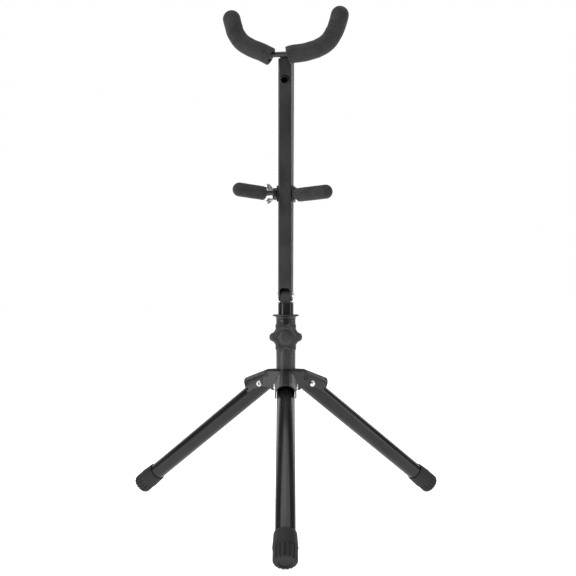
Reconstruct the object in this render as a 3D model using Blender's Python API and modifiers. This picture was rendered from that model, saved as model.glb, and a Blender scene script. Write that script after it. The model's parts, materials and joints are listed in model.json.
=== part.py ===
"""Folding tripod stand for an alto or tenor saxophone.

The stand rests on Z = 0 with +Z up. The front leg points to -Y and the column stands at (0, COLUMN_Y).
Heights are above the floor. The upper half is built in its own frame: +X to its right, -Y to its front.
"""

import math

import bmesh
import bpy
from mathutils import Matrix, Vector

MM = 0.001
GAP = 0.3 * MM                      # clearance between touching pieces

# Tripod
LEG_AZIMUTHS = {"front": -90.0, "right": 30.0, "left": 150.0}
LEG_SLOPE = math.radians(37.2)      # below horizontal
LEG_RADIUS = 10.0 * MM
LEG_WALL = 1.2 * MM
LEG_HEAD = 5.0 * MM                 # tube above its pivot
LEG_LENGTH = 226.0 * MM             # tube below its pivot
PIVOT_RADIUS = 28.5 * MM            # leg pivot to column axis
PIVOT_Z = 147.5 * MM
FOOT_START = 198.6 * MM             # mouth of the rubber foot, from the pivot
FOOT_LENGTH = 34.0 * MM
FOOT_RADIUS = 12.3 * MM
COLUMN_Y = 51.25 * MM               # puts the origin under the middle of the stand

# Hub bracket
SHEET = 1.5 * MM
HUB_TOP = 164.0 * MM
HUB_SKIRT = 144.4 * MM
HUB_APOTHEM = 20.4 * MM
ARM_INNER = LEG_RADIUS + 0.4 * MM
ARM_OUTER = ARM_INNER + SHEET
ARM_BEND = 23.6 * MM
ARM_TIP = 54.0 * MM
ARM_TIP_TOP = 152.4 * MM
RIVET_RADIUS = 2.5 * MM
RIVET_HOLE = RIVET_RADIUS + 0.4 * MM

# Column
TUBE_RADIUS = 11.1 * MM
TUBE_BORE = 10.2 * MM
TUBE_BOTTOM = 143.5 * MM
TUBE_TOP = 222.0 * MM
COLLAR_TOP = 227.4 * MM
COLLAR_RADIUS = 15.0 * MM
SLIDER_RADIUS = 8.8 * MM
SLIDER_BORE = 7.6 * MM
SLIDER_BOTTOM = 154.0 * MM
SLIDER_TOP = 240.6 * MM
KNOB_Z = 203.0 * MM
KNOB_RADIUS = 16.3 * MM
KNOB_LOBE = 2.1 * MM
KNOB_BACK = 20.0 * MM
STUD_RADIUS = 4.0 * MM

# Upper half, turned about the column
SWIVEL = math.radians(-10.0)
FOLD_Z = 250.0 * MM
MAST_HALF = 7.7 * MM
MAST_WALL = 1.2 * MM
MAST_WINDOW_Z = 258.0 * MM
MAST_TOP = 521.0 * MM
MAST_DEPTH_LOW = 13.0 * MM
MAST_DEPTH_TOP = 20.0 * MM
BOLT_Z = 366.5 * MM
YOKE_Z = 524.5 * MM
YOKE_FORWARD = 10.9 * MM
YOKE_RIVET_Z = 496.0 * MM
WIRE_RADIUS = 3.0 * MM
BORE_RADIUS = WIRE_RADIUS + 0.9 * MM
YOKE_FOAM = 10.2 * MM
ARM_FOAM = 7.8 * MM

STEEL_BLACK = ("black_powder_coat", (0.045, 0.045, 0.048), 0.42, 0.0)
TUBE_BLACK = ("black_gloss_coat", (0.03, 0.03, 0.032), 0.28, 0.0)
FOAM_BLACK = ("black_foam", (0.05, 0.05, 0.052), 0.95, 0.0)
RUBBER_BLACK = ("black_rubber", (0.03, 0.03, 0.03), 0.8, 0.0)
PLASTIC_BLACK = ("black_plastic", (0.035, 0.035, 0.037), 0.5, 0.0)
ZINC = ("bright_zinc", (0.75, 0.76, 0.78), 0.25, 1.0)


def clear_scene():
    for obj in list(bpy.data.objects):
        bpy.data.objects.remove(obj, do_unlink=True)


def new_collection(name, hidden=False):
    collection = bpy.data.collections.new(name)
    collection.hide_render = hidden
    bpy.context.scene.collection.children.link(collection)
    return collection


clear_scene()
STAND = new_collection("saxophone_stand")
CUTTERS = new_collection("cutters", hidden=True)


def material(spec):
    name, colour, roughness, metallic = spec
    found = bpy.data.materials.get(name)
    if found:
        return found
    made = bpy.data.materials.new(name)
    made.use_nodes = True
    shader = made.node_tree.nodes["Principled BSDF"]
    shader.inputs["Base Color"].default_value = (*colour, 1.0)
    shader.inputs["Roughness"].default_value = roughness
    shader.inputs["Metallic"].default_value = metallic
    made.diffuse_color = (*colour, 1.0)
    return made


def axis_empty(name, location, parent=None, rotation=(0.0, 0.0, 0.0)):
    empty = bpy.data.objects.new(name, None)
    STAND.objects.link(empty)
    empty.location = location
    empty.rotation_euler = rotation
    empty.parent = parent
    return empty


def add_object(name, bm, spec=None, parent=None):
    """Makes an object of a bmesh: a part with a material, or a cutter without one."""
    bmesh.ops.recalc_face_normals(bm, faces=bm.faces)
    mesh = bpy.data.meshes.new(name)
    bm.to_mesh(mesh)
    bm.free()
    obj = bpy.data.objects.new(name, mesh)
    obj.parent = parent
    if spec:
        STAND.objects.link(obj)
        mesh.materials.append(material(spec))
        mesh.shade_smooth()
        mesh.set_sharp_from_angle(angle=math.radians(35))
    else:
        CUTTERS.objects.link(obj)
        obj.hide_render = True
        obj.display_type = "WIRE"
    return obj


def boolean(obj, other, operation="DIFFERENCE"):
    modifier = obj.modifiers.new(operation.title(), "BOOLEAN")
    modifier.operation = operation
    modifier.solver = "EXACT"
    modifier.object = other
    return obj


def along(axis):
    """Rotation that turns +Z to the axis."""
    return Vector(axis).to_track_quat("Z", "Y").to_matrix().to_4x4()


def cylinder(radius, start, end, sides=24):
    """A bmesh cylinder from start to end."""
    start, end = Vector(start), Vector(end)
    matrix = Matrix.Translation((start + end) / 2) @ along(end - start)
    bm = bmesh.new()
    bmesh.ops.create_cone(
        bm, cap_ends=True, segments=sides, radius1=radius, radius2=radius,
        depth=(end - start).length, matrix=matrix,
    )
    return bm


def box(low, high):
    low, high = Vector(low), Vector(high)
    scale = Matrix.Diagonal((*(high - low), 1.0))
    bm = bmesh.new()
    bmesh.ops.create_cube(bm, size=1.0, matrix=Matrix.Translation((low + high) / 2) @ scale)
    return bm


def turned(name, profile, spec, parent=None, steps=24, matrix=None, ring=False):
    """A profile of (radius, height) points, listed down its outer side, turned about Z."""
    bm = bmesh.new()
    points = [bm.verts.new((radius, 0.0, height)) for radius, height in profile]
    for first, second in zip(points, points[1:]):
        bm.edges.new((first, second))
    if ring:
        bm.edges.new((points[-1], points[0]))
    mesh = bpy.data.meshes.new(name)
    bm.to_mesh(mesh)
    bm.free()
    sketch = bpy.data.objects.new(name + "_profile", mesh)
    CUTTERS.objects.link(sketch)
    screw = sketch.modifiers.new("Turn", "SCREW")
    screw.steps = steps
    screw.render_steps = steps
    screw.use_merge_vertices = True
    screw.merge_threshold = 0.00002
    return add_object(name, evaluated_bmesh(sketch, matrix), spec, parent)


def evaluated_bmesh(obj, matrix=None):
    """The evaluated surface of a sketch as a welded bmesh; the sketch is removed."""
    graph = bpy.context.evaluated_depsgraph_get()
    mesh = bpy.data.meshes.new_from_object(obj.evaluated_get(graph))
    bm = bmesh.new()
    bm.from_mesh(mesh)
    bpy.data.meshes.remove(mesh)
    bpy.data.objects.remove(obj, do_unlink=True)
    bmesh.ops.remove_doubles(bm, verts=bm.verts, dist=0.00002)
    if matrix:
        bmesh.ops.transform(bm, matrix=matrix, verts=bm.verts)
    return bm


def smooth_path(points, step):
    """Evenly spaced points on a Catmull-Rom curve through the given ones."""
    points = [Vector(point) for point in points]
    padded = [2 * points[0] - points[1], *points, 2 * points[-1] - points[-2]]
    dense = []
    for before, here, there, after in zip(padded, padded[1:], padded[2:], padded[3:]):
        for index in range(24):
            t = index / 24
            dense.append(0.5 * (
                2 * here + (there - before) * t
                + (2 * before - 5 * here + 4 * there - after) * t**2
                + (3 * here - before - 3 * there + after) * t**3
            ))
    dense.append(points[-1])
    spaced, travelled = [dense[0]], 0.0
    for first, second in zip(dense, dense[1:]):
        travelled += (second - first).length
        if travelled >= step:
            spaced.append(second)
            travelled = 0.0
    if (spaced[-1] - dense[-1]).length < step / 3:
        spaced.pop()
    return [*spaced, dense[-1]]


def overrun(points, distance=MM):
    """The path with its far end carried on by a distance, so that a bore ends beyond the bar in it."""
    return [*points, points[-1] + (points[-1] - points[-2]).normalized() * distance]


def swept(name, points, radius, spec=None, parent=None, resolution=4, round_end=False):
    """A round bar along the points, with its far end domed when round_end is set."""
    radii = [1.0] * len(points)
    if round_end:
        direction = (points[-1] - points[-2]).normalized()
        end = points[-1]
        for angle in (28.0, 55.0, 80.0):
            turn = math.radians(angle)
            points = [*points, end + direction * radius * math.sin(turn)]
            radii.append(math.cos(turn))
    curve = bpy.data.curves.new(name, "CURVE")
    curve.dimensions = "3D"
    curve.bevel_depth = radius
    curve.bevel_resolution = resolution
    curve.use_fill_caps = True
    spline = curve.splines.new("POLY")
    spline.points.add(len(points) - 1)
    for slot, point, scale in zip(spline.points, points, radii):
        slot.co = (*point, 1.0)
        slot.radius = scale
    sketch = bpy.data.objects.new(name + "_path", curve)
    CUTTERS.objects.link(sketch)
    return add_object(name, evaluated_bmesh(sketch), spec, parent)


def loft(rings):
    """A bmesh skin over rings of points with equal counts, closed by a cap at each end."""
    bm = bmesh.new()
    made = [[bm.verts.new(point) for point in ring] for ring in rings]
    for first, second in zip(made, made[1:]):
        for index in range(len(first)):
            following = (index + 1) % len(first)
            bm.faces.new((first[index], first[following], second[following], second[index]))
    bm.faces.new(made[0])
    bm.faces.new(made[-1])
    return bm


def arch(half_width, crown, foot, place, segments=10):
    """Outline of a round-topped channel section. place(y, z) turns it into a point."""
    turns = [math.pi * index / segments for index in range(segments + 1)]
    top = [(half_width * math.cos(t), crown - half_width + half_width * math.sin(t)) for t in turns]
    outline = [(half_width, foot), *top, (-half_width, foot)]
    return [place(y, z) for y, z in outline]


def hub_arm(half_width, drop, tip, feet):
    """One arm of the hub along +X: level to its bend, then sloping to its tip."""
    slope = (HUB_TOP - ARM_TIP_TOP) / (ARM_TIP - ARM_BEND)
    top = HUB_TOP - drop
    rings = []
    for radius, foot in feet:
        crown = top - max(0.0, radius - ARM_BEND) * slope
        rings.append(arch(half_width, crown, foot, lambda y, z, r=radius: (r, y, z)))
    end, foot, lean = tip
    crown = top - (end - ARM_BEND) * slope
    height = crown - foot
    rings.append(arch(
        half_width, crown, foot,
        lambda y, z: (end - lean * (crown - z) / height, y, z),
    ))
    return loft(rings)


def hexagon(apothem, low, high):
    corner = apothem / math.cos(math.pi / 6)
    bm = bmesh.new()
    bmesh.ops.create_cone(
        bm, cap_ends=True, segments=6, radius1=corner, radius2=corner, depth=high - low,
        matrix=Matrix.Translation((0.0, 0.0, (low + high) / 2)),
    )
    return bm


def make_hub(parent):
    """Stamped hexagonal cap with three round-topped arms that straddle the legs."""
    body = hexagon(HUB_APOTHEM, HUB_SKIRT, HUB_TOP)
    bmesh.ops.bevel(
        body, geom=[edge for edge in body.edges if abs(edge.verts[0].co.z - edge.verts[1].co.z) < MM
                    and edge.verts[0].co.z > HUB_SKIRT + MM],
        offset=1.2 * MM, segments=2, affect="EDGES", profile=0.5,
    )
    hub = add_object("hub_bracket", body, STEEL_BLACK, parent)
    outer_feet = [(2 * MM, HUB_SKIRT), (ARM_BEND, HUB_SKIRT), (35 * MM, 141.6 * MM), (43 * MM, 136.9 * MM)]
    inner_feet = [(2 * MM, 120 * MM), (ARM_BEND, 120 * MM), (70 * MM, 120 * MM)]
    hollow = add_object("hub_hollow", hexagon(HUB_APOTHEM - SHEET, 120 * MM, HUB_TOP - SHEET))
    hollow.parent = parent
    for azimuth in LEG_AZIMUTHS.values():
        turn = (0.0, 0.0, math.radians(azimuth))
        tip = (ARM_TIP, 136.1 * MM, 9.4 * MM)
        outer = add_object(
            "hub_arm", hub_arm(ARM_OUTER, 0.0, tip, outer_feet), parent=parent)
        inner = add_object(
            "hub_channel", hub_arm(ARM_INNER, SHEET, (80 * MM, 119 * MM, 0.0), inner_feet), parent=parent)
        outer.rotation_euler = inner.rotation_euler = turn
        boolean(hub, outer, "UNION")
        boolean(hollow, inner, "UNION")
    boolean(hub, hollow)
    boolean(hub, add_object("hub_bore", cylinder(TUBE_RADIUS + GAP, (0, 0, 100 * MM), (0, 0, 180 * MM)),
                            parent=parent))
    for azimuth in LEG_AZIMUTHS.values():
        for radius, height, size in ((PIVOT_RADIUS, PIVOT_Z, RIVET_HOLE), (45.2 * MM, 140.4 * MM, 1.3 * MM)):
            hole = add_object("hub_hole", cylinder(
                size, (radius, -20 * MM, height), (radius, 20 * MM, height), 20), parent=parent)
            hole.rotation_euler = (0.0, 0.0, math.radians(azimuth))
            boolean(hub, hole)


def make_leg(side, azimuth, parent):
    """Leg tube, rubber foot and pivot rivet. The empty's Y axis is the rivet, its X axis runs down the leg."""
    turn = math.radians(azimuth)
    spot = Vector((PIVOT_RADIUS * math.cos(turn), PIVOT_RADIUS * math.sin(turn), PIVOT_Z))
    rivet_axis = axis_empty(f"leg_pivot_{side}", spot, parent, (0.0, 0.0, turn))
    leg_axis = axis_empty(f"leg_axis_{side}", (0, 0, 0), rivet_axis, (0.0, LEG_SLOPE, 0.0))
    bore = LEG_RADIUS - LEG_WALL
    tube = turned(
        f"leg_{side}",
        [(LEG_RADIUS, -LEG_HEAD + 0.6 * MM), (LEG_RADIUS, LEG_LENGTH), (bore, LEG_LENGTH), (bore, -LEG_HEAD),
         (LEG_RADIUS - 0.6 * MM, -LEG_HEAD)],
        TUBE_BLACK, leg_axis, matrix=along((1, 0, 0)), ring=True)
    hole = add_object(f"leg_hole_{side}", cylinder(RIVET_HOLE, (0, -20 * MM, 0), (0, 20 * MM, 0), 20),
                      parent=leg_axis)
    boolean(tube, hole)

    corner = 6.0 * MM
    end = FOOT_LENGTH
    wide = FOOT_RADIUS
    profile = [(10.9 * MM, 0.0), (11.3 * MM, 0.8 * MM), (wide - 0.2 * MM, 14 * MM), (wide, 18 * MM)]
    profile += [
        (wide - corner + corner * math.cos(a), end - corner + corner * math.sin(a))
        for a in (math.radians(22.5 * step) for step in range(5))
    ]
    depth = LEG_LENGTH - FOOT_START + GAP
    profile += [(0.0, end), (0.0, depth), (LEG_RADIUS + GAP, depth), (LEG_RADIUS + GAP, 0.0)]
    foot = turned(
        f"foot_{side}", profile, RUBBER_BLACK, leg_axis, 24,
        Matrix.Translation((FOOT_START, 0, 0)) @ along((1, 0, 0)), ring=True)
    boolean(foot, FLOOR)

    flange = ARM_OUTER + GAP
    turned(
        f"leg_rivet_{side}",
        [(0.0, flange + 1.9 * MM), (1.9 * MM, flange + 1.6 * MM), (3.3 * MM, flange + 0.7 * MM),
         (3.6 * MM, flange), (RIVET_RADIUS, flange), (RIVET_RADIUS, -flange), (3.2 * MM, -flange),
         (3.3 * MM, -flange - 0.7 * MM), (2.7 * MM, -flange - 1.3 * MM), (1.9 * MM, -flange - 1.3 * MM),
         (1.5 * MM, -flange - 0.6 * MM), (1.5 * MM, -flange + 5 * MM), (0.0, -flange + 5 * MM)],
        ZINC, rivet_axis, 14, along((0, -1, 0)))


def make_column(parent):
    """Fixed tube, its flanged bushing, the stop plate under the legs, and the clamp screw."""
    tube = turned(
        "centre_tube",
        [(TUBE_RADIUS, TUBE_TOP), (TUBE_RADIUS, TUBE_BOTTOM), (TUBE_BORE, TUBE_BOTTOM), (TUBE_BORE, TUBE_TOP)],
        STEEL_BLACK, parent, ring=True)
    boolean(tube, add_object("tube_hole", cylinder(
        STUD_RADIUS + 0.6 * MM, (0, 0, KNOB_Z), (0, -20 * MM, KNOB_Z), 24), parent=parent))
    turned(
        "hub_stop_plate",
        [(17.3 * MM, 143.2 * MM), (17.3 * MM, 141.5 * MM), (16.8 * MM, 141.2 * MM), (4 * MM, 141.2 * MM),
         (4 * MM, 143.2 * MM)],
        STEEL_BLACK, parent, ring=True)
    turned(
        "collar_bushing",
        [(COLLAR_RADIUS - 0.5 * MM, COLLAR_TOP), (COLLAR_RADIUS, COLLAR_TOP - 0.5 * MM),
         (COLLAR_RADIUS, COLLAR_TOP - 1.3 * MM), (COLLAR_RADIUS - 0.5 * MM, COLLAR_TOP - 1.8 * MM),
         (TUBE_RADIUS + 0.6 * MM, COLLAR_TOP - 2.4 * MM), (TUBE_RADIUS + 0.2 * MM, TUBE_TOP + GAP),
         (TUBE_BORE - GAP, TUBE_TOP + GAP), (TUBE_BORE - GAP, 214 * MM),
         (SLIDER_RADIUS + GAP, 214 * MM), (SLIDER_RADIUS + GAP, COLLAR_TOP)],
        PLASTIC_BLACK, parent, 28, ring=True)

    def screw_matrix(distance):
        return Matrix.Translation((0, -distance, 0)) @ along((0, -1, 0))

    clamp = axis_empty("clamp_axis", (0, 0, KNOB_Z), parent)
    boss = turned(
        "clamp_boss",
        [(7.0 * MM, 19.2 * MM), (7.5 * MM, 18.7 * MM), (7.5 * MM, 5 * MM), (STUD_RADIUS + GAP, 5 * MM),
         (STUD_RADIUS + GAP, 19.2 * MM)],
        STEEL_BLACK, clamp, 28, screw_matrix(0), ring=True)
    boolean(boss, add_object("boss_saddle", cylinder(
        TUBE_RADIUS + 0.5 * MM, (0, 0, -30 * MM), (0, 0, 30 * MM), 24), parent=clamp))
    turned(
        "clamp_pad",
        [(0.0, 12.1 * MM), (STUD_RADIUS - GAP, 12.1 * MM), (STUD_RADIUS - GAP, 9.5 * MM),
         (STUD_RADIUS - 3 * GAP, 9.15 * MM), (0.0, 9.15 * MM)][::-1],
        PLASTIC_BLACK, clamp, 20, screw_matrix(0))
    turned(
        "clamp_stud",
        [(0.0, 30.7 * MM), (STUD_RADIUS, 30.7 * MM), (STUD_RADIUS, 13 * MM), (STUD_RADIUS - 0.6 * MM, 12.4 * MM),
         (0.0, 12.4 * MM)],
        ZINC, clamp, 20, screw_matrix(0))

    def knob_ring(distance, scale):
        points = []
        for index in range(48):
            angle = 2 * math.pi * index / 48
            radius = (KNOB_RADIUS + KNOB_LOBE * math.cos(6 * angle)) * scale
            points.append((radius * math.cos(angle), -distance, radius * math.sin(angle)))
        return points

    sections = ((0.0, 0.82), (2.5, 1.0), (11.0, 1.0), (14.5, 0.9), (16.0, 0.74))
    knob = add_object(
        "clamp_knob", loft([knob_ring(KNOB_BACK + depth * MM, scale) for depth, scale in sections]),
        PLASTIC_BLACK, clamp)
    boolean(knob, add_object("knob_bore", cylinder(
        STUD_RADIUS + GAP, (0, 0, 0), (0, -31 * MM, 0), 24), parent=clamp))


def make_slider(parent):
    """Inner tube that slides in the column, its guide at the bottom and the hinge head at the top."""
    turned(
        "inner_tube",
        [(SLIDER_RADIUS, SLIDER_TOP), (SLIDER_RADIUS, SLIDER_BOTTOM), (SLIDER_BORE, SLIDER_BOTTOM),
         (SLIDER_BORE, SLIDER_TOP)],
        TUBE_BLACK, parent, ring=True)
    turned(
        "tube_guide",
        [(SLIDER_BORE - GAP, 168 * MM), (SLIDER_BORE - GAP, SLIDER_BOTTOM - GAP),
         (TUBE_BORE - GAP, SLIDER_BOTTOM - GAP), (TUBE_BORE - GAP, 150.8 * MM), (4 * MM, 150.8 * MM),
         (4 * MM, 168 * MM)],
        PLASTIC_BLACK, parent, ring=True)
    head = turned(
        "hinge_head",
        [(0.0, 241.6 * MM), (8.9 * MM, 241.6 * MM), (9.2 * MM, 241.3 * MM), (9.2 * MM, 240.9 * MM),
         (SLIDER_BORE - GAP, 240.9 * MM), (SLIDER_BORE - GAP, 226 * MM), (0.0, 226 * MM)],
        STEEL_BLACK, parent)
    half = 5.7 * MM
    knuckle = add_object("hinge_knuckle", box((-half, -6 * MM, 241.2 * MM), (half, 6 * MM, FOLD_Z)), parent=parent)
    boolean(head, knuckle, "UNION")
    boolean(head, add_object("knuckle_top", cylinder(
        6 * MM, (-half, 0, FOLD_Z), (half, 0, FOLD_Z)), parent=parent), "UNION")
    boolean(head, add_object("knuckle_hole", cylinder(
        RIVET_HOLE, (-20 * MM, 0, FOLD_Z), (20 * MM, 0, FOLD_Z), 24), parent=parent))


def mast_back(height):
    """How far behind its front face the channel reaches at a height."""
    share = (height - MAST_WINDOW_Z) / (MAST_TOP - MAST_WINDOW_Z)
    return MAST_DEPTH_LOW + (MAST_DEPTH_TOP - MAST_DEPTH_LOW) * max(0.0, share) - MAST_HALF


def make_mast(parent):
    """Rectangular steel tube whose foot is open front and back, so that its two sides straddle the hinge head."""
    fold = axis_empty("fold_axis", (0, 0, FOLD_Z), parent)
    lower = []
    for index in range(9):
        angle = math.pi * (1 + index / 8)
        lower.append((-1.0 * MM + 6.5 * MM * math.cos(angle), 7.0 * MM * math.sin(angle)))
    side = [
        (-MAST_HALF, MAST_TOP - FOLD_Z), (-MAST_HALF, 0.5 * MM), *lower[1:-1],
        (mast_back(MAST_WINDOW_Z), 0.5 * MM), (mast_back(MAST_WINDOW_Z), MAST_WINDOW_Z - FOLD_Z),
        (mast_back(MAST_TOP), MAST_TOP - FOLD_Z),
    ]
    shell = loft([[(x, y, z) for y, z in side] for x in (-MAST_HALF, MAST_HALF)])
    front_edges = [
        edge for edge in shell.edges
        if all(abs(v.co.y + MAST_HALF) < 1e-6 and abs(abs(v.co.x) - MAST_HALF) < 1e-6 for v in edge.verts)
        and abs(edge.verts[0].co.z - edge.verts[1].co.z) > 0.1
    ]
    bmesh.ops.bevel(shell, geom=front_edges, offset=1.8 * MM, segments=3, affect="EDGES", profile=0.5)
    mast = add_object("mast", shell, STEEL_BLACK, fold)
    inside = MAST_HALF - MAST_WALL
    low_back, top_back = mast_back(MAST_WINDOW_Z) - MAST_WALL, mast_back(MAST_TOP) - MAST_WALL
    hollow = [(-inside, -30 * MM), (low_back, -30 * MM), (low_back, MAST_WINDOW_Z - FOLD_Z),
              (top_back, MAST_TOP - FOLD_Z), (top_back, MAST_TOP - FOLD_Z + 5 * MM),
              (-inside, MAST_TOP - FOLD_Z + 5 * MM)]
    boolean(mast, add_object("mast_hollow", loft([[(x, y, z) for y, z in hollow] for x in (-inside, inside)]),
                             parent=fold))
    foot_gap = inside - 0.5 * MM
    boolean(mast, add_object("foot_opening", box((-foot_gap, 0, -30 * MM), (foot_gap, 40 * MM, 5.5 * MM)),
                             parent=fold))
    window = box((-foot_gap, -20 * MM, -30 * MM), (foot_gap, 0, MAST_WINDOW_Z - FOLD_Z))
    top_edges = [
        edge for edge in window.edges
        if abs(edge.verts[0].co.x - edge.verts[1].co.x) < 1e-6 and edge.verts[0].co.z > 0
        and edge.verts[1].co.z > 0
    ]
    bmesh.ops.bevel(window, geom=top_edges, offset=3.5 * MM, segments=4, affect="EDGES", profile=0.5)
    boolean(mast, add_object("mast_window", window, parent=fold))
    for height in (FOLD_Z, BOLT_Z):
        z = height - FOLD_Z
        radius = RIVET_HOLE if height == FOLD_Z else 3.4 * MM
        boolean(mast, add_object("mast_hole", cylinder(radius, (-20 * MM, 0, z), (20 * MM, 0, z), 24),
                                 parent=fold))
    z = YOKE_RIVET_Z - FOLD_Z
    boolean(mast, add_object("yoke_hole", cylinder(
        4.4 * MM, (0, -20 * MM, z), (0, 0, z), 16), parent=fold))

    outside = MAST_HALF + GAP
    turned(
        "fold_pin",
        [(0.0, outside + 1.8 * MM), (2.2 * MM, outside + 1.5 * MM), (3.6 * MM, outside + 0.6 * MM),
         (3.8 * MM, outside), (RIVET_RADIUS, outside), (RIVET_RADIUS, -outside), (3.8 * MM, -outside),
         (3.6 * MM, -outside - 0.6 * MM), (2.2 * MM, -outside - 1.5 * MM), (0.0, -outside - 1.8 * MM)],
        ZINC, fold, 14, along((1, 0, 0)))
    return fold


def make_yoke(mast_axis):
    """Cradle for the bell: a bent wire with two foam sleeves, carried by a plate riveted in the mast."""
    yoke = axis_empty("yoke_origin", (0, 0, YOKE_Z - FOLD_Z), mast_axis)
    front = -YOKE_FORWARD
    half_shape = [(12.0, 0.0), (19.0, 0.5), (27.5, 3.2), (39.0, 7.8), (50.0, 14.6), (57.2, 25.0),
                  (60.6, 34.5), (63.0, 43.2)]
    right = [(x * MM, front, z * MM) for x, z in half_shape]
    left = [(-x, y, z) for x, y, z in right]
    wire_path = smooth_path([*left[::-1], (0, front, 0), *right], 6.0 * MM)
    swept("yoke_rod", wire_path, WIRE_RADIUS, STEEL_BLACK, yoke, 3)

    plate = [(-MAST_HALF + MAST_WALL + GAP, -38.0 * MM), (-MAST_HALF + MAST_WALL + GAP, -2.6 * MM),
             (front + WIRE_RADIUS + GAP, -2.6 * MM), (front + WIRE_RADIUS + GAP, 2.4 * MM),
             (-3.2 * MM, 2.4 * MM), (-3.2 * MM, -38.0 * MM)]
    plate_obj = add_object(
        "yoke_plate", loft([[(x, y, z) for y, z in plate] for x in (-5.5 * MM, 5.5 * MM)]), STEEL_BLACK, yoke)
    rivet_z = YOKE_RIVET_Z - YOKE_Z
    boolean(plate_obj, add_object("plate_hole", cylinder(
        4.4 * MM, (0, -20 * MM, rivet_z), (0, 20 * MM, rivet_z), 16), parent=yoke))
    face = MAST_HALF + GAP
    turned(
        "yoke_rivet",
        [(3.4 * MM, face + 0.9 * MM), (4.6 * MM, face + 1.2 * MM), (5.6 * MM, face + 0.7 * MM),
         (5.9 * MM, face), (4.1 * MM, face), (4.1 * MM, 2.9 * MM), (5.4 * MM, 2.9 * MM),
         (5.2 * MM, 1.9 * MM), (3.4 * MM, 1.9 * MM)],
        STEEL_BLACK, yoke, 16, Matrix.Translation((0, 0, rivet_z)) @ along((0, -1, 0)), ring=True)

    for side, points, start in (("left", left, 16.0 * MM), ("right", right, 3.6 * MM)):
        sign = -1 if side == "left" else 1
        foam_path = smooth_path([(sign * start, front, 0.1 * MM), *points[1:]], 7.0 * MM)
        foam = swept(f"yoke_sleeve_{side}", foam_path, YOKE_FOAM, FOAM_BLACK, yoke, 5, True)
        channel_path = smooth_path(
            [(sign * (start - 8 * MM), front, 0.0), (sign * (start - 2 * MM), front, 0.0), *points[1:]], 7.0 * MM)
        boolean(foam, swept(
            f"sleeve_bore_{side}", overrun(channel_path), BORE_RADIUS, parent=yoke, resolution=2))
        boolean(foam, add_object(f"bush_seat_{side}", cylinder(
            4.8 * MM, (sign * (start - 5 * MM), front, 0), (sign * (start + 9 * MM), front, 0), 16),
            parent=yoke))
        if side == "right":
            relief = box((-20 * MM, -MAST_HALF - 0.5 * MM, -80 * MM),
                         (MAST_HALF + 0.5 * MM, 40 * MM, 3 * MM))
            boolean(foam, add_object("mast_relief", relief, parent=yoke))
        bush_matrix = Matrix.Translation((0, front, 0)) @ along((sign, 0, 0))
        low, high = start - 1.6 * MM, start + 2.4 * MM
        if side == "right":
            low, high = start + 4.6 * MM, start + 8.4 * MM
        turned(
            f"yoke_bush_{side}",
            [(3.9 * MM, high), (4.4 * MM, high - 0.6 * MM), (4.4 * MM, low + 0.8 * MM),
             (4.1 * MM, low), (3.6 * MM, low), (3.6 * MM, high)],
            PLASTIC_BLACK, yoke, 16, bush_matrix, ring=True)


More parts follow.
